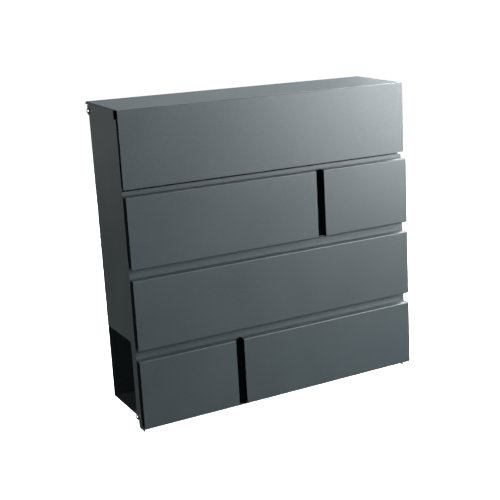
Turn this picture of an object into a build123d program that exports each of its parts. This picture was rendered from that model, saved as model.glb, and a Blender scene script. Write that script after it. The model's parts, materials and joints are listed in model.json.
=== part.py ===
from build123d import *
import os

# A wall-mounted letterbox of folded sheet steel: a box body with a newspaper tunnel below, a lid over
# the mail slot, and a fold-down door that carries five channel panels laid like courses of brick.
# Millimetres. The wall is the plane y = 0, the front faces -Y, +Z is up, and the middle of the
# wall-hole pattern is the origin. Heights are counted from the lower edge of the lowest panel.

# Sheet and bends
sheet = 0.8
bend_radius = 1.6
fold_width = 12.0

# Overall depths, as y of each plane
standoff = 10.0
body_back = -standoff
panel_front = -112.0
channel_depth = 10.5
door_front = panel_front + channel_depth
body_front = -96.6
lid_front = -107.2
lid_rear = -8.5
cutout_front = -84.7

# Widths, as half widths
lid_half = 184.5
panel_half = 184.5
body_half = 183.0
inner_half = body_half - sheet
ear_half = 181.2

# Heights above the lowest panel's lower edge
pattern_height = 225.0
row_height = 81.7
row_gap = 11.5
floor_height = 8.6
roof_height = 98.0
door_top = 273.0
skirt_bottom = 275.6
fascia_bottom = 278.0
fascia_top = 338.0
lid_front_top = 361.6
lid_rear_top = 364.8
lid_gap = 0.4

# Brick joints in the second and fourth course
joint_offset = 59.2
joint_gap = 10.5
channel_lip = 9.0

# Hinges
lid_pivot_y = -12.0
lid_pivot_height = 354.2
door_pivot_y = -88.5
door_pivot_height = 8.2
pin_radius = 2.0
running_clearance = 0.05
head_radius = 3.6
head_height = 2.6
tail_height = 1.3
washer_radius = 5.0
washer_gap = 0.04

# Door stiles
stile_rear = -83.6
stile_drop = 7.0
stile_foot_corner = 2.5
stile_top_corner = 7.0

# Wall holes, each in a pressed boss that holds the box off the wall
hole_spacing_x = 250.0
hole_spacing_z = 180.0
hole_radius = 3.2
boss_base_radius = 20.0
boss_top_radius = 11.0

# Cam lock
lock_height = 302.0
lock_head_radius = 11.0
lock_head_thickness = 2.5
barrel_radius = 8.0
barrel_flats = 14.0
barrel_length = 14.0
nut_flats = 22.0
nut_thickness = 3.0
plug_radius = 5.5
tang_size = 5.8
cam_length = 34.0
cam_width = 12.0
cam_hub_radius = 8.0
cam_thickness = 1.8
screw_radius = 1.6
screw_head_radius = 3.8
screw_head_height = 2.2
lock_fit = 0.05
fascia_front = -96.0
cam_gap = 0.1
plug_recess = 0.3
keyway_width = 1.8
keyway_height = 7.5
keyway_depth = 8.0
screw_length = 8.0
driver_slot_length = 4.6
driver_slot_width = 0.9

# Smaller features of the sheets
back_wall_end_drop = 7.0
back_wall_rise = 5.0
back_wall_end_top = lid_pivot_height - back_wall_end_drop
back_wall_top = lid_pivot_height + back_wall_rise
back_wall_rise_half = inner_half - 2 * fold_width
flange_drop = 9.0
flange_top = lid_pivot_height - flange_drop
side_ear_radius = 6.0
side_ear_rear = lid_pivot_y + side_ear_radius
side_ear_bottom = 349.0
side_ear_foot_radius = 2.0
notch_rear = -90.4
notch_bottom = 350.5
cutout_radius = 3.0
lobe_bottom = 4.0
lobe_radius = 3.4
stile_room = 1.5
stile_room_half = 178.6
stop_clearance = 1.2
stop_y = door_front + sheet
stop_half = ear_half - fold_width - stop_clearance
floor_front = -88.0
gusset_rear = -71.0
gusset_top = 15.0
door_foot_front = panel_front + bend_radius
door_fold_half = 178.5
door_fold_rear = -74.5
cam_slot_left = -8.0
cam_slot_right = 29.0
cam_slot_y = (-84.0, -78.5)
stile_top = 271.4
lip_width = 1.6
lip_drop = 2.8
ear_length = 24.0
ear_rear = 0.5
ear_boss_radius = 4.6
rivet_grip = body_half - ear_half + sheet + 2 * washer_gap
dome_share = 0.9


def z_of(height):
    """Row-frame z of a height above the lowest panel's lower edge."""
    return height - pattern_height


def slab(x_range, y_range, z_range, mode=Mode.ADD):
    """A flat stretch of sheet, given by its limits along each axis."""
    limits = (x_range, y_range, z_range)
    centre = tuple((low + high) / 2 for low, high in limits)
    size = tuple(high - low for low, high in limits)
    with Locations(centre):
        Box(*size, mode=mode)


def corner_at(y, height):
    """The current sketch's corner nearest to a depth and a height, in a sketch on the YZ plane."""
    return vertices().sort_by_distance((y, z_of(height), 0))[0]


def lid_underside(y):
    """Height of the sloping lid plate's underside at a given depth."""
    slope = (lid_rear_top - lid_front_top) / (lid_rear - lid_front)
    return lid_front_top + slope * (y - lid_front) - sheet


# Pivot centres as y and z
lid_pivot = (lid_pivot_y, z_of(lid_pivot_height))
door_pivot = (door_pivot_y, z_of(door_pivot_height))
pivot_places = (lid_pivot, door_pivot)

# Back wall, with four pressed bosses that stand it off the wall
with BuildPart() as back_wall:
    wall_y = (body_back - sheet, body_back)
    slab((-inner_half, inner_half), wall_y, (z_of(floor_height), z_of(back_wall_end_top)))
    slab((-back_wall_rise_half, back_wall_rise_half), wall_y,
         (z_of(back_wall_end_top), z_of(back_wall_top)))
    slab((-body_half, body_half), wall_y, (z_of(floor_height), z_of(roof_height)))
    with GridLocations(hole_spacing_x, hole_spacing_z, 2, 2) as hole_grid:
        hole_places = [place.position for place in hole_grid.locations]
    for place in hole_places:
        base = Plane(origin=(place.X, body_back, place.Y), x_dir=(1, 0, 0), z_dir=(0, 1, 0))
        with BuildSketch(base):
            Circle(boss_base_radius)
        with BuildSketch(base.offset(standoff)):
            Circle(boss_top_radius)
        loft(ruled=True)
        with BuildSketch(base.offset(-sheet)):
            Circle(boss_base_radius - sheet)
        with BuildSketch(base.offset(standoff - sheet)):
            Circle(boss_top_radius - sheet)
        loft(ruled=True, mode=Mode.SUBTRACT)
        with BuildSketch(base.offset(standoff)):
            Circle(hole_radius)
        extrude(amount=-2 * standoff, mode=Mode.SUBTRACT)


def side_wall(side):
    """One side of the body, side is -1 for the left and 1 for the right.

    A low gusset at the front of the tunnel's opening joins it to the floor, outside the door's stile.
    """
    with BuildPart() as wall:
        with BuildSketch(Plane.YZ.offset(side * body_half)):
            with BuildLine():
                Polyline(
                    (body_front, z_of(lobe_bottom)),
                    (cutout_front, z_of(lobe_bottom)),
                    (cutout_front, z_of(floor_height)),
                    (gusset_rear, z_of(floor_height)),
                    (gusset_rear, z_of(floor_height + sheet)),
                    (cutout_front, z_of(gusset_top)),
                    (cutout_front, z_of(roof_height)),
                    (body_back, z_of(roof_height)),
                    (body_back, z_of(side_ear_bottom)),
                    (side_ear_rear, z_of(side_ear_bottom)),
                    (side_ear_rear, z_of(lid_underside(side_ear_rear) - lid_gap)),
                    (notch_rear, z_of(lid_underside(notch_rear) - lid_gap)),
                    (notch_rear, z_of(notch_bottom)),
                    (body_front, z_of(notch_bottom)),
                    close=True,
                )
            make_face()
            fillet(corner_at(side_ear_rear, lid_underside(side_ear_rear)), side_ear_radius)
            fillet(corner_at(side_ear_rear, side_ear_bottom), side_ear_foot_radius)
            fillet(corner_at(cutout_front, roof_height), cutout_radius)
            fillet(corner_at(body_front, lobe_bottom), lobe_radius)
            fillet(corner_at(cutout_front, lobe_bottom), lobe_radius)
        extrude(amount=-side * sheet)
        flange_x = sorted((side * inner_half, side * (inner_half - fold_width)))
        flange_y = (body_back - 2 * sheet, body_back - sheet)
        slab(flange_x, flange_y, (z_of(roof_height + fold_width), z_of(flange_top)))
        for pivot in pivot_places:
            with BuildSketch(Plane.YZ.offset(side * body_half)):
                with Locations(pivot):
                    Circle(pin_radius)
            extrude(amount=-side * sheet, mode=Mode.SUBTRACT)
    return wall


side_left = side_wall(-1)
side_right = side_wall(1)

# Floor of the letter compartment, which is also the roof of the newspaper tunnel
with BuildPart() as letter_floor:
    roof_top = roof_height + sheet
    level = (z_of(roof_height), z_of(roof_top))
    fold_z = (z_of(roof_top), z_of(roof_top + fold_width - sheet))
    slab((-inner_half, inner_half), (stile_rear + stile_room, body_back - sheet), level)
    slab((-stop_half, stop_half), (stop_y, stile_rear + stile_room), level)
    slab((-stop_half, stop_half), (stop_y, stop_y + sheet), fold_z)
    for end in (-1, 1):
        fold_x = sorted((end * inner_half, end * (inner_half - sheet)))
        slab(fold_x, (stile_rear + stile_room, body_back - 2 * sheet), fold_z)

# Floor of the newspaper tunnel, narrower in front where the door's stiles swing past its ends
with BuildPart() as tunnel_floor:
    level = (z_of(floor_height), z_of(floor_height + sheet))
    fold_z = (z_of(floor_height + sheet), z_of(floor_height + fold_width))
    slab((-body_half, body_half), (gusset_rear, body_back - sheet), level)
    slab((-stile_room_half, stile_room_half), (floor_front, gusset_rear), level)
    slab((-body_half, body_half), (body_back - 2 * sheet, body_back - sheet), fold_z)
    slab((-stile_room_half, stile_room_half), (floor_front, floor_front + sheet), fold_z)

# Fixed lock panel between the sides, behind the lid's skirt
with BuildPart() as lock_panel:
    panel_z = (z_of(fascia_bottom), z_of(fascia_top))
    slab((-inner_half, inner_half), (fascia_front, fascia_front + sheet), panel_z)
    slab((-inner_half, inner_half), (fascia_front + sheet, fascia_front + fold_width),
         (z_of(fascia_top - sheet), z_of(fascia_top)))
    for end in (-1, 1):
        fold_x = sorted((end * inner_half, end * (inner_half - sheet)))
        slab(fold_x, (fascia_front + sheet, fascia_front + fold_width), panel_z)
    with BuildSketch(Plane.XZ.offset(-fascia_front)):
        with Locations((0, z_of(lock_height))):
            Circle(barrel_radius + lock_fit)
            Rectangle(4 * barrel_radius, barrel_flats + 2 * lock_fit, mode=Mode.INTERSECT)
    extrude(amount=-sheet, mode=Mode.SUBTRACT)

# Flat door plate with a slotted rear fold on top and a forward fold under the lowest panels
with BuildPart() as door_plate:
    door_back = door_front + sheet
    with BuildSketch(Plane.YZ.offset(-panel_half)):
        with BuildLine():
            Polyline(
                (door_foot_front, z_of(0)),
                (door_back, z_of(0)),
                (door_back, z_of(door_top)),
                (door_front, z_of(door_top)),
                (door_front, z_of(sheet)),
                (door_foot_front, z_of(sheet)),
                close=True,
            )
        make_face()
    extrude(amount=2 * panel_half)
    slab((-door_fold_half, door_fold_half), (door_back, door_fold_rear),
         (z_of(door_top - sheet), z_of(door_top)))
    slab((cam_slot_left, cam_slot_right), cam_slot_y,
         (z_of(door_top - 2 * sheet), z_of(door_top + sheet)), mode=Mode.SUBTRACT)


def door_stile(side):
    """One hinge stile: an angle welded behind the door plate's edge, with the pivot hole below."""
    with BuildPart() as stile:
        with BuildSketch(Plane.YZ.offset(side * ear_half)):
            with BuildLine():
                Polyline(
                    (door_front + sheet, z_of(-stile_drop)),
                    (stile_rear, z_of(-stile_drop)),
                    (stile_rear, z_of(stile_top)),
                    (door_front + sheet, z_of(stile_top)),
                    close=True,
                )
            make_face()
            fillet(corner_at(stile_rear, -stile_drop), stile_foot_corner)
            fillet(corner_at(stile_rear, stile_top), stile_top_corner)
            with Locations(door_pivot):
                Circle(pin_radius + running_clearance, mode=Mode.SUBTRACT)
        extrude(amount=-side * sheet)
        leg_x = sorted((side * (ear_half - sheet), side * (ear_half - fold_width)))
        slab(leg_x, (door_front + sheet, door_front + 2 * sheet), (z_of(0), z_of(stile_top)))
    return stile


door_stile_left = door_stile(-1)
door_stile_right = door_stile(1)


def channel(x_min, x_max, bottom, top):
    """One door panel: a lipped channel, open at both ends, welded by its lips to the door plate."""
    height = top - bottom
    middle = z_of((bottom + top) / 2)
    with BuildPart() as panel:
        with BuildSketch(Plane.YZ.offset(x_min)):
            with Locations((panel_front + channel_depth / 2, middle)):
                RectangleRounded(channel_depth, height, bend_radius)
                RectangleRounded(channel_depth - 2 * sheet, height - 2 * sheet,
                                 bend_radius - sheet, mode=Mode.SUBTRACT)
            with Locations((door_front - sheet / 2, middle)):
                Rectangle(sheet, height - 2 * channel_lip, mode=Mode.SUBTRACT)
        extrude(amount=x_max - x_min)
    return panel


# Bottom and top of each course; the lowest one stands on the door plate's forward fold
course_2 = (2 * (row_height + row_gap), 3 * row_height + 2 * row_gap)
course_3 = (row_height + row_gap, 2 * row_height + row_gap)
course_4 = (sheet, row_height)
row2_left = channel(-panel_half, joint_offset - joint_gap / 2, *course_2)
row2_right = channel(joint_offset + joint_gap / 2, panel_half, *course_2)
row3_full = channel(-panel_half, panel_half, *course_3)
row4_left = channel(-panel_half, -joint_offset - joint_gap / 2, *course_4)
row4_right = channel(-joint_offset + joint_gap / 2, panel_half, *course_4)

# Lid: a sloping top plate and a front skirt folded from one sheet, with a drip lip along each side
# that widens to the rear
with BuildPart() as lid:
    with BuildSketch(Plane.YZ.offset(-lid_half)):
        with BuildLine():
            Polyline(
                (lid_front, z_of(skirt_bottom)),
                (lid_front, z_of(lid_front_top)),
                (lid_rear, z_of(lid_rear_top)),
                (lid_rear, z_of(lid_underside(lid_rear))),
                (lid_front + sheet, z_of(lid_underside(lid_front + sheet))),
                (lid_front + sheet, z_of(skirt_bottom)),
                close=True,
            )
        make_face()
        fillet(corner_at(lid_front, lid_front_top), bend_radius)
        fillet(corner_at(lid_front + sheet, lid_front_top - sheet), bend_radius - sheet)
    extrude(amount=2 * lid_half)
    for side in (-1, 1):
        lip_front = Vector(side * lid_half, lid_front + bend_radius, z_of(lid_front_top))
        lip_rear = Vector(side * lid_half, lid_rear, z_of(lid_rear_top))
        lip_tip = lip_rear + Vector(side * lip_width, 0, -lip_drop)
        upward = (lip_rear - lip_front).cross(lip_tip - lip_front) * -side
        lip_plane = Plane(origin=lip_front, x_dir=lip_rear - lip_front, z_dir=upward)
        with BuildSketch(lip_plane):
            with BuildLine():
                Polyline(*(lip_plane.to_local_coords(corner) for corner in (lip_front, lip_rear, lip_tip)),
                         close=True)
            make_face()
        extrude(amount=-sheet)


def lid_bracket(side):
    """One hinge bracket: an ear that hangs on the pivot and a leg welded under the lid plate."""
    leg_rear = lid_pivot_y + ear_rear
    leg_front = lid_pivot_y - ear_length
    with BuildPart() as bracket:
        with BuildSketch(Plane.YZ.offset(side * ear_half)):
            with BuildLine():
                Polyline(
                    (leg_front, z_of(lid_underside(leg_front))),
                    (leg_rear, z_of(lid_underside(leg_rear))),
                    (leg_rear, z_of(lid_pivot_height)),
                    (leg_front, z_of(lid_pivot_height)),
                    close=True,
                )
            make_face()
            with Locations(lid_pivot):
                Circle(ear_boss_radius)
                Circle(pin_radius + running_clearance, mode=Mode.SUBTRACT)
        extrude(amount=-side * sheet)
        with BuildSketch(Plane.YZ.offset(side * (ear_half - sheet))):
            with BuildLine():
                Polyline(
                    (leg_front, z_of(lid_underside(leg_front))),
                    (leg_rear, z_of(lid_underside(leg_rear))),
                    (leg_rear, z_of(lid_underside(leg_rear) - sheet)),
                    (leg_front, z_of(lid_underside(leg_front) - sheet)),
                    close=True,
                )
            make_face()
        extrude(amount=-side * fold_width)
    return bracket


lid_bracket_left = lid_bracket(-1)
lid_bracket_right = lid_bracket(1)


def pivot_rivets(pivot):
    """The two domed rivets of one hinge, each fast in a side wall with its tail inside the ear."""
    with BuildPart() as rivets:
        for side in (-1, 1):
            outside = Plane(origin=(side * body_half, *pivot), x_dir=(0, 1, 0), z_dir=(side, 0, 0))
            with BuildSketch(outside):
                Circle(head_radius)
            extrude(amount=head_height)
            with BuildSketch(outside):
                Circle(pin_radius)
            extrude(amount=-rivet_grip)
            with BuildSketch(outside.offset(-rivet_grip)):
                Circle(head_radius)
            extrude(amount=-tail_height)
        for end in (0, -1):
            rim = rivets.edges().filter_by(GeomType.CIRCLE).group_by(Axis.X)[end]
            fillet(rim, head_height * dome_share)
    return rivets


def pivot_washers(pivot):
    """The two plain washers between the side walls and the ears of one hinge."""
    with BuildPart() as washers:
        for side in (-1, 1):
            inside = Plane(origin=(side * inner_half, *pivot), x_dir=(0, 1, 0), z_dir=(-side, 0, 0))
            with BuildSketch(inside.offset(washer_gap)):
                Circle(washer_radius)
                Circle(pin_radius + running_clearance, mode=Mode.SUBTRACT)
            extrude(amount=inner_half - ear_half - 2 * washer_gap)
    return washers


lid_pivot_rivets = pivot_rivets(lid_pivot)
lid_pivot_washers = pivot_washers(lid_pivot)
door_pivot_rivets = pivot_rivets(door_pivot)
door_pivot_washers = pivot_washers(door_pivot)

# Cam lock in the lock panel. Its planes face the front, so an offset is the distance before y = 0.
lock_axis = Plane(origin=(0, 0, z_of(lock_height)), x_dir=(1, 0, 0), z_dir=(0, -1, 0))
barrel_rear = fascia_front + barrel_length
cam_front = barrel_rear + cam_gap
cam_rear = cam_front + cam_thickness

with BuildPart() as lock_housing:
    with BuildSketch(lock_axis.offset(-fascia_front)):
        Circle(lock_head_radius)
    extrude(amount=lock_head_thickness)
    head_rim = lock_housing.edges().group_by(Axis.Y)[0]
    fillet(head_rim, lock_head_thickness / 2)
    with BuildSketch(lock_axis.offset(-fascia_front)):
        Circle(barrel_radius)
        Rectangle(4 * barrel_radius, barrel_flats, mode=Mode.INTERSECT)
    extrude(amount=-barrel_length)
    with BuildSketch(lock_axis.offset(-barrel_rear)):
        Circle(plug_radius + lock_fit)
    extrude(amount=2 * barrel_length, mode=Mode.SUBTRACT)

with BuildPart() as lock_nut:
    with BuildSketch(lock_axis.offset(-fascia_front - sheet)):
        RegularPolygon(nut_flats / 2, 6, major_radius=False)
        Circle(barrel_radius + lock_fit, mode=Mode.SUBTRACT)
    extrude(amount=-nut_thickness)

with BuildPart() as lock_plug:
    plug_front = fascia_front - lock_head_thickness + plug_recess
    with BuildSketch(lock_axis.offset(-plug_front)):
        Circle(plug_radius)
    extrude(amount=-(barrel_rear - plug_front))
    with BuildSketch(lock_axis.offset(-barrel_rear)):
        Rectangle(tang_size, tang_size)
    extrude(amount=-(cam_rear - barrel_rear - plug_recess))
    with BuildSketch(lock_axis.offset(-plug_front)):
        Rectangle(keyway_width, keyway_height)
        Circle(keyway_width)
    extrude(amount=-keyway_depth, mode=Mode.SUBTRACT)
    with BuildSketch(lock_axis.offset(-cam_rear)):
        Circle(screw_radius)
    extrude(amount=screw_length, mode=Mode.SUBTRACT)

with BuildPart() as lock_cam:
    with BuildSketch(lock_axis.offset(-cam_front)):
        Circle(cam_hub_radius)
        with Locations(((cam_length - cam_width / 2) / 2, 0)):
            Rectangle(cam_length - cam_width / 2, cam_width)
        with Locations((cam_length - cam_width / 2, 0)):
            Circle(cam_width / 2)
        Rectangle(tang_size + 2 * lock_fit, tang_size + 2 * lock_fit, mode=Mode.SUBTRACT)
    extrude(amount=-cam_thickness)

with BuildPart() as cam_screw:
    with BuildSketch(lock_axis.offset(-cam_rear)):
        Circle(screw_head_radius)
    extrude(amount=-screw_head_height)
    fillet(cam_screw.edges().group_by(Axis.Y)[-1], screw_head_height / 3)
    with BuildSketch(lock_axis.offset(-cam_rear)):
        Circle(screw_radius)
    extrude(amount=screw_length - sheet)
    with BuildSketch(lock_axis.offset(-cam_rear - screw_head_height)):
        Rectangle(driver_slot_length, driver_slot_width)
        Rectangle(driver_slot_width, driver_slot_length)
    extrude(amount=screw_head_height / 2, mode=Mode.SUBTRACT)

pieces = {
    "back_wall": back_wall,
    "side_left": side_left,
    "side_right": side_right,
    "letter_floor": letter_floor,
    "tunnel_floor": tunnel_floor,
    "lock_panel": lock_panel,
    "door_plate": door_plate,
    "door_stile_left": door_stile_left,
    "door_stile_right": door_stile_right,
    "row2_left": row2_left,
    "row2_right": row2_right,
    "row3_full": row3_full,
    "row4_left": row4_left,
    "row4_right": row4_right,
    "lid": lid,
    "lid_bracket_left": lid_bracket_left,
    "lid_bracket_right": lid_bracket_right,
    "lid_pivot_rivets": lid_pivot_rivets,
    "lid_pivot_washers": lid_pivot_washers,
    "door_pivot_rivets": door_pivot_rivets,
    "door_pivot_washers": door_pivot_washers,
    "lock_housing": lock_housing,
    "lock_nut": lock_nut,
    "lock_plug": lock_plug,
    "lock_cam": lock_cam,
    "cam_screw": cam_screw,
}

os.makedirs("parts", exist_ok=True)
for name, piece in pieces.items():
    piece.part.label = name
    export_step(piece.part, f"parts/{name}.step")
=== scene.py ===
import json
import math

import bmesh
import bpy
from mathutils import Matrix, Quaternion, Vector

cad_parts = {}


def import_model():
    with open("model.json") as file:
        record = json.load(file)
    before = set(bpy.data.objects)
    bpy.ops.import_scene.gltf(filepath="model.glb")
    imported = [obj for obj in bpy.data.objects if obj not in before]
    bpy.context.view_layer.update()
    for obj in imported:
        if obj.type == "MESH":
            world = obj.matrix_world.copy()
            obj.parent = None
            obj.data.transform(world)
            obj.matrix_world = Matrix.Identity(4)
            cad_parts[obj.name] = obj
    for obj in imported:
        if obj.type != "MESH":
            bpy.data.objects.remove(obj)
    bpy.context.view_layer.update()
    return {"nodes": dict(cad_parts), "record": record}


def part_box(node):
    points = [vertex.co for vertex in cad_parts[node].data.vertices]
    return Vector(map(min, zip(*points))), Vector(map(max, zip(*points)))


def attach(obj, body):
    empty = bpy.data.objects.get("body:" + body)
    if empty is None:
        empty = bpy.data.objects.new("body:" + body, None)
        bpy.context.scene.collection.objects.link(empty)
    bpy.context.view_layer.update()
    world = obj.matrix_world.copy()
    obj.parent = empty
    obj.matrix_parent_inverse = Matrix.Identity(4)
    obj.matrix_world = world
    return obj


# Looks for the flat wall-mounted letterbox: powder-coated sheet steel with softened edges, spot welds,
# zinc-plated and chromed lock parts, and a pale studio. Metres, in the CAD's own frame.

# Camera: left of the middle, a little above it; metres, degrees and, for lens and sensor, millimetres
CAMERA_PLACE = (-0.5581, -1.1394, 0.2462)
CAMERA_TURN = 29.70
CAMERA_DROP = 13.18
CAMERA_ROLL = -2.59
CAMERA_LENS = 73.66
CAMERA_SHIFT = (-0.10, -0.03)
CAMERA_CLIP = (0.05, 50.0)
SENSOR_WIDTH = 36.0

# Stage: a flat floor, a cove round it and a dome on top; the floor lies just under the opened door
FLOOR_Z = -0.262
FLOOR_RINGS = (0.0, 0.6, 1.5, 3.0, 4.5)
COVE_RADIUS = 2.5
STAGE_RADIUS = FLOOR_RINGS[-1] + COVE_RADIUS
STAGE_SEGMENTS = 96
ARC_STEPS = 12
POINT_RADIUS = 0.001
STAGE_WHITE = (0.93, 0.935, 0.94, 1.0)
STAGE_SPECULAR = 0.1
STAGE_GLOW = 1.0

# Light: a faint world, whose strength rises as a direction's Z goes over WORLD_SPAN, and softboxes
WORLD_COLOUR = (0.92, 0.97, 1.0, 1.0)
WORLD_SPAN = (-0.6, 0.9)
WORLD_STRENGTH = (0.03, 0.04)
LIGHT_TARGET = Vector((0.0, -0.05, -0.04))
LIGHT_DISTANCE = 1.6
COOL = (0.94, 0.975, 1.0)
WARM = (1.0, 0.98, 0.96)
# name: turn from the front to the right, height angle, width in metres, strength in watts, colour
LIGHTS = {
    "key": (50, 12, 0.9, 65, COOL),
    "left": (-91, 6, 0.9, 16, WARM),
    "fill": (-50, 0, 0.9, 0.5, WARM),
    "left_rear": (200, 9, 0.9, 0.6, WARM),
    "right_high": (105, 32, 0.9, 140, COOL),
    "right_rear": (125, 12, 0.9, 2.5, COOL),
    "rear_high": (160, 38, 0.9, 1.5, COOL),
    "rear_low": (160, -12, 0.9, 20, COOL),
}

# Paint, anthracite powder coat
PAINT_DEEP = (0.0340, 0.0440, 0.0475, 1.0)
PAINT_LIGHT = (0.0400, 0.0510, 0.0550, 1.0)
PAINT_SPECK = (0.0520, 0.0640, 0.0690, 1.0)
PAINT_ROUGHNESS = (0.37, 0.40)
PAINT_IOR = 1.52
PAINT_OFFSETS = {"body": (0.0, 0.0, 0.0), "door": (1.7, 0.4, 2.3), "lid": (3.1, 2.2, 0.9)}

# Darker and lighter tone of the small parts' materials
STEEL_TONES = ((0.56, 0.57, 0.58, 1), (0.76, 0.77, 0.78, 1))
ZINC_TONES = ((0.50, 0.53, 0.56, 1), (0.68, 0.68, 0.65, 1))
CHROME_TONES = ((0.70, 0.71, 0.72, 1), (0.80, 0.81, 0.82, 1))
NYLON_TONES = ((0.66, 0.65, 0.60, 1), (0.76, 0.75, 0.71, 1))

# The colour sockets of a Mix node
MIX_FIRST = 6
MIX_SECOND = 7
MIX_RESULT = 2

# Softened sheet edges
EDGE_WIDTH = 0.00018
EDGE_SEGMENTS = 2
EDGE_ANGLE = math.radians(32)
WELD_DISTANCE = 0.000002

# Spot welds: the mark's size, its distance from sheet ends, lips and the stile's foot, the counts, and
# the way every mark faces
SPOT_RADIUS = 0.0026
SPOT_RIM = 0.00012
SPOT_DIMPLE = 0.00003
SPOT_ROOT = 0.0001
SPOT_SEGMENTS = 24
SPOT_END = 0.012
SPOT_LIP = 0.005
SPOT_FOOT = 0.048
SPOT_REACH = 0.160
SPOTS_PER_ROW = {"row2_left": 5, "row2_right": 3, "row3_full": 8, "row4_left": 3, "row4_right": 5}
SPOTS_PER_STILE = 7
SPOTS_PER_FOLD = 8
SPOTS_PER_SIDE = 7
TO_WALL = (0, 1, 0)

# Sheet thickness, and how far inside the side wall's outer face its rear flange has its middle
SHEET = 0.0008
FLANGE_MIDDLE = 0.0068

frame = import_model()
nodes = frame["nodes"]
slot_of = {row["node"]: row["material_slot"] for row in frame["record"]["subparts"]}


# ---------------------------------------------------------------- materials

def new_material(name):
    """An empty node material with its shader, and the object-space coordinates that textures use."""
    material = bpy.data.materials.new(name)
    material.use_nodes = True
    tree = material.node_tree
    shader = tree.nodes["Principled BSDF"]
    place = tree.nodes.new("ShaderNodeTexCoord").outputs["Object"]
    return material, tree, shader, place


def noise(tree, place, scale, detail=2.0, rough=0.5, stretch=(1, 1, 1), offset=(0, 0, 0)):
    """Fractal noise in object space; scale is in cells per metre."""
    mapping = tree.nodes.new("ShaderNodeMapping")
    mapping.inputs["Scale"].default_value = stretch
    mapping.inputs["Location"].default_value = offset
    tree.links.new(place, mapping.inputs["Vector"])
    texture = tree.nodes.new("ShaderNodeTexNoise")
    texture.inputs["Scale"].default_value = scale
    texture.inputs["Detail"].default_value = detail
    texture.inputs["Roughness"].default_value = rough
    tree.links.new(mapping.outputs["Vector"], texture.inputs["Vector"])
    return texture.outputs["Fac"]


def remap(tree, value, old, new):
    """A value moved from one range to another, and held inside it."""
    node = tree.nodes.new("ShaderNodeMapRange")
    node.inputs["From Min"].default_value = old[0]
    node.inputs["From Max"].default_value = old[1]
    node.inputs["To Min"].default_value = new[0]
    node.inputs["To Max"].default_value = new[1]
    tree.links.new(value, node.inputs["Value"])
    return node.outputs["Result"]


def blend_colours(tree, factor, first, second):
    """A colour between two, each a socket or a fixed colour."""
    node = tree.nodes.new("ShaderNodeMix")
    node.data_type = "RGBA"
    tree.links.new(factor, node.inputs["Factor"])
    for index, colour in ((MIX_FIRST, first), (MIX_SECOND, second)):
        if isinstance(colour, tuple):
            node.inputs[index].default_value = colour
        else:
            tree.links.new(colour, node.inputs[index])
    return node.outputs[MIX_RESULT]


def bumps(tree, shader, layers):
    """Bump layers, each (height socket, strength, distance in metres), one on the other."""
    normal = None
    for height, strength, distance in layers:
        node = tree.nodes.new("ShaderNodeBump")
        node.inputs["Strength"].default_value = strength
        node.inputs["Distance"].default_value = distance
        tree.links.new(height, node.inputs["Height"])
        if normal is not None:
            tree.links.new(normal, node.inputs["Normal"])
        normal = node.outputs["Normal"]
    tree.links.new(normal, shader.inputs["Normal"])


def powder_coat(name, offset):
    """Anthracite powder coat: orange peel, a fine grain, faint clouds of gloss and colour."""
    material, tree, shader, place = new_material(name)
    clouds = noise(tree, place, scale=11, detail=3.0, rough=0.55, offset=offset)
    speck = noise(tree, place, scale=900, detail=2.0, rough=0.6, offset=offset)
    peel = noise(tree, place, scale=620, detail=2.0, rough=0.45, offset=offset)
    grain = noise(tree, place, scale=2600, detail=2.0, rough=0.6, offset=offset)
    handling = noise(tree, place, scale=26, detail=4.0, rough=0.62, offset=offset)
    cloudiness = remap(tree, clouds, old=(0.35, 0.65), new=(0, 1))
    speckle = remap(tree, speck, old=(0.45, 0.75), new=(0, 0.8))
    gloss = remap(tree, handling, old=(0.32, 0.68), new=PAINT_ROUGHNESS)
    base = blend_colours(tree, cloudiness, PAINT_DEEP, PAINT_LIGHT)
    colour = blend_colours(tree, speckle, base, PAINT_SPECK)
    tree.links.new(colour, shader.inputs["Base Color"])
    tree.links.new(gloss, shader.inputs["Roughness"])
    bumps(tree, shader, ((peel, 0.36, 0.00006), (grain, 0.30, 0.000022)))
    shader.inputs["IOR"].default_value = PAINT_IOR
    return material


def bright_steel(name):
    """Plain drawn steel of the rivets: bright, with fine marks from the setting tool."""
    material, tree, shader, place = new_material(name)
    marks = noise(tree, place, scale=900, detail=4.0, rough=0.65, stretch=(1, 3, 3))
    tone = noise(tree, place, scale=240, detail=2.0, rough=0.5)
    colour = blend_colours(tree, remap(tree, tone, old=(0.3, 0.7), new=(0, 1)), *STEEL_TONES)
    gloss = remap(tree, marks, old=(0.3, 0.7), new=(0.16, 0.30))
    tree.links.new(colour, shader.inputs["Base Color"])
    tree.links.new(gloss, shader.inputs["Roughness"])
    bumps(tree, shader, ((marks, 0.25, 0.00002),))
    shader.inputs["Metallic"].default_value = 1.0
    return material


def zinc_plate(name):
    """Zinc-plated pressed steel of the cam, nut and screw: cool grey with cloudy bloom."""
    material, tree, shader, place = new_material(name)
    bloom = noise(tree, place, scale=170, detail=4.0, rough=0.6)
    scratches = noise(tree, place, scale=420, detail=3.0, rough=0.6, stretch=(0.25, 4, 4))
    colour = blend_colours(tree, remap(tree, bloom, old=(0.33, 0.67), new=(0, 1)), *ZINC_TONES)
    gloss = remap(tree, scratches, old=(0.3, 0.7), new=(0.28, 0.46))
    tree.links.new(colour, shader.inputs["Base Color"])
    tree.links.new(gloss, shader.inputs["Roughness"])
    bumps(tree, shader, ((scratches, 0.25, 0.00002), (bloom, 0.15, 0.00001)))
    shader.inputs["Metallic"].default_value = 1.0
    return material


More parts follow.
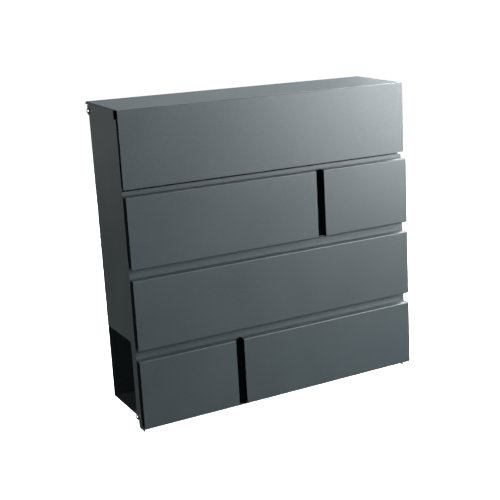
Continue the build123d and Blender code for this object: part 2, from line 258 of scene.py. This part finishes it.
def chrome(name):
    """Chromed lock face and barrel: nearly mirror bright, with faint polishing lines."""
    material, tree, shader, place = new_material(name)
    polish = noise(tree, place, scale=700, detail=3.0, rough=0.6, stretch=(1, 1, 6))
    haze = noise(tree, place, scale=120, detail=2.0, rough=0.5)
    colour = blend_colours(tree, remap(tree, haze, old=(0.3, 0.7), new=(0, 1)), *CHROME_TONES)
    gloss = remap(tree, polish, old=(0.3, 0.7), new=(0.07, 0.16))
    tree.links.new(colour, shader.inputs["Base Color"])
    tree.links.new(gloss, shader.inputs["Roughness"])
    bumps(tree, shader, ((polish, 0.10, 0.00001),))
    shader.inputs["Metallic"].default_value = 1.0
    return material


def nylon(name):
    """Natural nylon washers: milky, slightly waxy."""
    material, tree, shader, place = new_material(name)
    cloud = noise(tree, place, scale=380, detail=2.0, rough=0.5)
    grain = noise(tree, place, scale=2400, detail=2.0, rough=0.6)
    colour = blend_colours(tree, remap(tree, cloud, old=(0.3, 0.7), new=(0, 1)), *NYLON_TONES)
    gloss = remap(tree, cloud, old=(0.3, 0.7), new=(0.40, 0.52))
    tree.links.new(colour, shader.inputs["Base Color"])
    tree.links.new(gloss, shader.inputs["Roughness"])
    bumps(tree, shader, ((grain, 0.15, 0.00002),))
    return material


finishes = {
    "body_paint": powder_coat("powder_coat_body", PAINT_OFFSETS["body"]),
    "door_paint": powder_coat("powder_coat_door", PAINT_OFFSETS["door"]),
    "lid_paint": powder_coat("powder_coat_lid", PAINT_OFFSETS["lid"]),
    "rivet_steel": bright_steel("rivet_bright_steel"),
    "washer_nylon": nylon("washer_natural_nylon"),
    "lock_chrome": chrome("lock_chrome_plate"),
    "zinc_steel": zinc_plate("zinc_plated_steel"),
}


# ---------------------------------------------------------------- CAD nodes

def soften_edges(obj):
    """Rounds a CAD node's sharp edges a little, as paint does, and smooths the shading."""
    merge = obj.modifiers.new("merge", "WELD")
    merge.merge_threshold = WELD_DISTANCE
    bevel = obj.modifiers.new("edge", "BEVEL")
    bevel.width = EDGE_WIDTH
    bevel.segments = EDGE_SEGMENTS
    bevel.limit_method = "ANGLE"
    bevel.angle_limit = EDGE_ANGLE
    bevel.miter_outer = "MITER_ARC"
    normals = obj.modifiers.new("normals", "WEIGHTED_NORMAL")
    normals.keep_sharp = False


for node_name, node in nodes.items():
    for index in range(len(node.material_slots)):
        node.material_slots[index].material = finishes[slot_of[node_name]]
    soften_edges(node)


# ---------------------------------------------------------------- spot welds

def spot_profile():
    """The weld mark's section from its foot to its middle, as (radius, height above the sheet)."""
    return (
        (SPOT_RADIUS, -SPOT_ROOT),
        (SPOT_RADIUS, 0.0),
        (SPOT_RADIUS * 0.90, SPOT_RIM * 0.75),
        (SPOT_RADIUS * 0.80, SPOT_RIM),
        (SPOT_RADIUS * 0.68, SPOT_RIM * 0.75),
        (SPOT_RADIUS * 0.55, SPOT_DIMPLE),
        (SPOT_RADIUS * 0.25, SPOT_DIMPLE * 0.6),
    )


def add_spot(mesh, place, facing):
    """Adds one closed weld mark to a bmesh, at a point on the sheet, facing along a direction."""
    turn = Vector((0, 0, 1)).rotation_difference(Vector(facing)).to_matrix().to_4x4()
    put = Matrix.Translation(Vector(place)) @ turn
    rings = []
    for radius, height in spot_profile():
        ring = []
        for step in range(SPOT_SEGMENTS):
            angle = 2 * math.pi * step / SPOT_SEGMENTS
            point = Vector((radius * math.cos(angle), radius * math.sin(angle), height))
            ring.append(mesh.verts.new(put @ point))
        rings.append(ring)
    for outer, inner in zip(rings, rings[1:]):
        for step in range(SPOT_SEGMENTS):
            after = (step + 1) % SPOT_SEGMENTS
            mesh.faces.new((outer[step], outer[after], inner[after], inner[step]))
    mesh.faces.new(rings[-1])
    mesh.faces.new(reversed(rings[0]))


def spot_welds(name, body, slot, spots):
    """One piece with all the weld marks of a body; spots are (place, facing)."""
    shape = bmesh.new()
    for place, facing in spots:
        add_spot(shape, place, facing)
    for face in shape.faces:
        face.smooth = True
    bmesh.ops.recalc_face_normals(shape, faces=shape.faces)
    mesh = bpy.data.meshes.new(name)
    shape.to_mesh(mesh)
    shape.free()
    mesh.materials.append(finishes[slot])
    obj = bpy.data.objects.new(name, mesh)
    bpy.context.scene.collection.objects.link(obj)
    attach(obj, body)


def spread(low, high, count):
    """Evenly spaced values from low to high."""
    return [low + (high - low) * step / (count - 1) for step in range(count)]


def door_spots():
    """Weld marks on the back of the door: along both lips of every channel, and down both stiles."""
    plate_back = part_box("row3_full")[1].y + SHEET
    spots = []
    for row, count in SPOTS_PER_ROW.items():
        low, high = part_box(row)
        left = max(low.x + SPOT_END, -SPOT_REACH)
        right = min(high.x - SPOT_END, SPOT_REACH)
        for z in (low.z + SPOT_LIP, high.z - SPOT_LIP):
            for x in spread(left, right, count):
                spots.append(((x, plate_back, z), TO_WALL))
    for stile in ("door_stile_left", "door_stile_right"):
        low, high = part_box(stile)
        middle = (low.x + high.x) / 2
        for z in spread(low.z + SPOT_FOOT, high.z - SPOT_END, SPOTS_PER_STILE):
            spots.append(((middle, plate_back + SHEET, z), TO_WALL))
    return spots


def body_spots():
    """Weld marks on the back wall, over the side walls' flanges and the tunnel floor's rear fold."""
    wall_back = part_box("tunnel_floor")[1].y + SHEET
    floor_low, floor_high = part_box("tunnel_floor")
    roof_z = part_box("letter_floor")[1].z
    top_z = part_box("lock_panel")[1].z
    spots = []
    for x in spread(-SPOT_REACH, SPOT_REACH, SPOTS_PER_FOLD):
        spots.append(((x, wall_back, (floor_low.z + floor_high.z) / 2), TO_WALL))
    for side in (-1, 1):
        x = side * (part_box("side_right")[1].x - FLANGE_MIDDLE)
        for z in spread(roof_z + SPOT_END, top_z, SPOTS_PER_SIDE):
            spots.append(((x, wall_back, z), TO_WALL))
    return spots


spot_welds("door_spot_welds", "door", "door_paint", door_spots())
spot_welds("body_spot_welds", "body", "body_paint", body_spots())


# ---------------------------------------------------------------- studio

def stage_material():
    """A glowing white surface with faint mottling of its gloss."""
    material, tree, shader, place = new_material("stage_white")
    mottle = noise(tree, place, scale=3.0, detail=3.0, rough=0.5)
    gloss = remap(tree, mottle, old=(0.3, 0.7), new=(0.72, 0.80))
    tree.links.new(gloss, shader.inputs["Roughness"])
    shader.inputs["Base Color"].default_value = STAGE_WHITE
    shader.inputs["Specular IOR Level"].default_value = STAGE_SPECULAR
    shader.inputs["Emission Color"].default_value = (1, 1, 1, 1)
    shader.inputs["Emission Strength"].default_value = STAGE_GLOW
    return material


def stage_profile():
    """The stage's section from the floor's middle to the top of the dome, as (radius, height)."""
    quarter = [math.radians(90 * step / ARC_STEPS) for step in range(1, ARC_STEPS + 1)]
    profile = [(radius, 0.0) for radius in FLOOR_RINGS]
    for angle in quarter:
        out = FLOOR_RINGS[-1] + COVE_RADIUS * math.sin(angle)
        profile.append((out, COVE_RADIUS * (1 - math.cos(angle))))
    for angle in quarter:
        profile.append((STAGE_RADIUS * math.cos(angle), COVE_RADIUS + STAGE_RADIUS * math.sin(angle)))
    return profile


def add_ring(shape, radius, z):
    """A ring of points round the stage's middle, or a single point where the radius is nothing."""
    if radius < POINT_RADIUS:
        return [shape.verts.new((0, 0, z))]
    ring = []
    for step in range(STAGE_SEGMENTS):
        angle = 2 * math.pi * step / STAGE_SEGMENTS
        ring.append(shape.verts.new((radius * math.cos(angle), radius * math.sin(angle), z)))
    return ring


def join_rings(shape, inner, outer):
    """Faces between two rings, either of which may be a single point."""
    for step in range(STAGE_SEGMENTS):
        after = (step + 1) % STAGE_SEGMENTS
        if len(inner) == 1:
            shape.faces.new((inner[0], outer[step], outer[after]))
        elif len(outer) == 1:
            shape.faces.new((inner[step], outer[0], inner[after]))
        else:
            shape.faces.new((inner[step], outer[step], outer[after], inner[after]))


def stage():
    """A round floor that curves up into a dome, seen by the camera only."""
    shape = bmesh.new()
    rings = [add_ring(shape, radius, FLOOR_Z + height) for radius, height in stage_profile()]
    for inner, outer in zip(rings, rings[1:]):
        join_rings(shape, inner, outer)
    for face in shape.faces:
        face.smooth = True
    bmesh.ops.recalc_face_normals(shape, faces=shape.faces)
    bmesh.ops.reverse_faces(shape, faces=shape.faces)
    mesh = bpy.data.meshes.new("stage")
    shape.to_mesh(mesh)
    shape.free()
    mesh.materials.append(stage_material())
    obj = bpy.data.objects.new("stage", mesh)
    bpy.context.scene.collection.objects.link(obj)
    obj.visible_diffuse = False
    obj.visible_glossy = False
    obj.visible_transmission = False
    obj.visible_shadow = False


def world():
    """Faint even studio light, a little brighter from above than from below."""
    scene_world = bpy.data.worlds.new("studio")
    bpy.context.scene.world = scene_world
    scene_world.use_nodes = True
    tree = scene_world.node_tree
    background = tree.nodes["Background"]
    direction = tree.nodes.new("ShaderNodeTexCoord").outputs["Generated"]
    axes = tree.nodes.new("ShaderNodeSeparateXYZ")
    tree.links.new(direction, axes.inputs["Vector"])
    level = remap(tree, axes.outputs["Z"], old=WORLD_SPAN, new=WORLD_STRENGTH)
    background.inputs["Color"].default_value = WORLD_COLOUR
    tree.links.new(level, background.inputs["Strength"])


def softbox(name, turn, height, width, watts, colour):
    """A square softbox aimed at the object."""
    data = bpy.data.lights.new(name, "AREA")
    data.shape = "SQUARE"
    data.size = width
    data.energy = watts
    data.color = colour
    obj = bpy.data.objects.new(name, data)
    bpy.context.scene.collection.objects.link(obj)
    side = math.radians(turn)
    lift = math.radians(height)
    away = Vector((math.sin(side) * math.cos(lift), -math.cos(side) * math.cos(lift), math.sin(lift)))
    obj.location = LIGHT_TARGET + LIGHT_DISTANCE * away
    obj.rotation_mode = "QUATERNION"
    obj.rotation_quaternion = away.to_track_quat("Z", "Y")
    obj.visible_camera = False


def camera():
    """The camera at the photograph's viewing angle, set by its turn, its downward tilt and its roll."""
    data = bpy.data.cameras.new("camera")
    data.lens = CAMERA_LENS
    data.sensor_width = SENSOR_WIDTH
    data.shift_x, data.shift_y = CAMERA_SHIFT
    data.clip_start, data.clip_end = CAMERA_CLIP
    obj = bpy.data.objects.new("camera", data)
    bpy.context.scene.collection.objects.link(obj)
    turn = math.radians(CAMERA_TURN)
    drop = math.radians(CAMERA_DROP)
    look = Vector((math.sin(turn) * math.cos(drop), math.cos(turn) * math.cos(drop), -math.sin(drop)))
    obj.location = CAMERA_PLACE
    obj.rotation_mode = "QUATERNION"
    roll = Quaternion((0, 0, 1), math.radians(CAMERA_ROLL))
    obj.rotation_quaternion = look.to_track_quat("-Z", "Y") @ roll
    bpy.context.scene.camera = obj


stage()
world()
for light_name, light in LIGHTS.items():
    softbox(light_name, *light)
camera()
bpy.context.scene.view_settings.view_transform = "Standard"
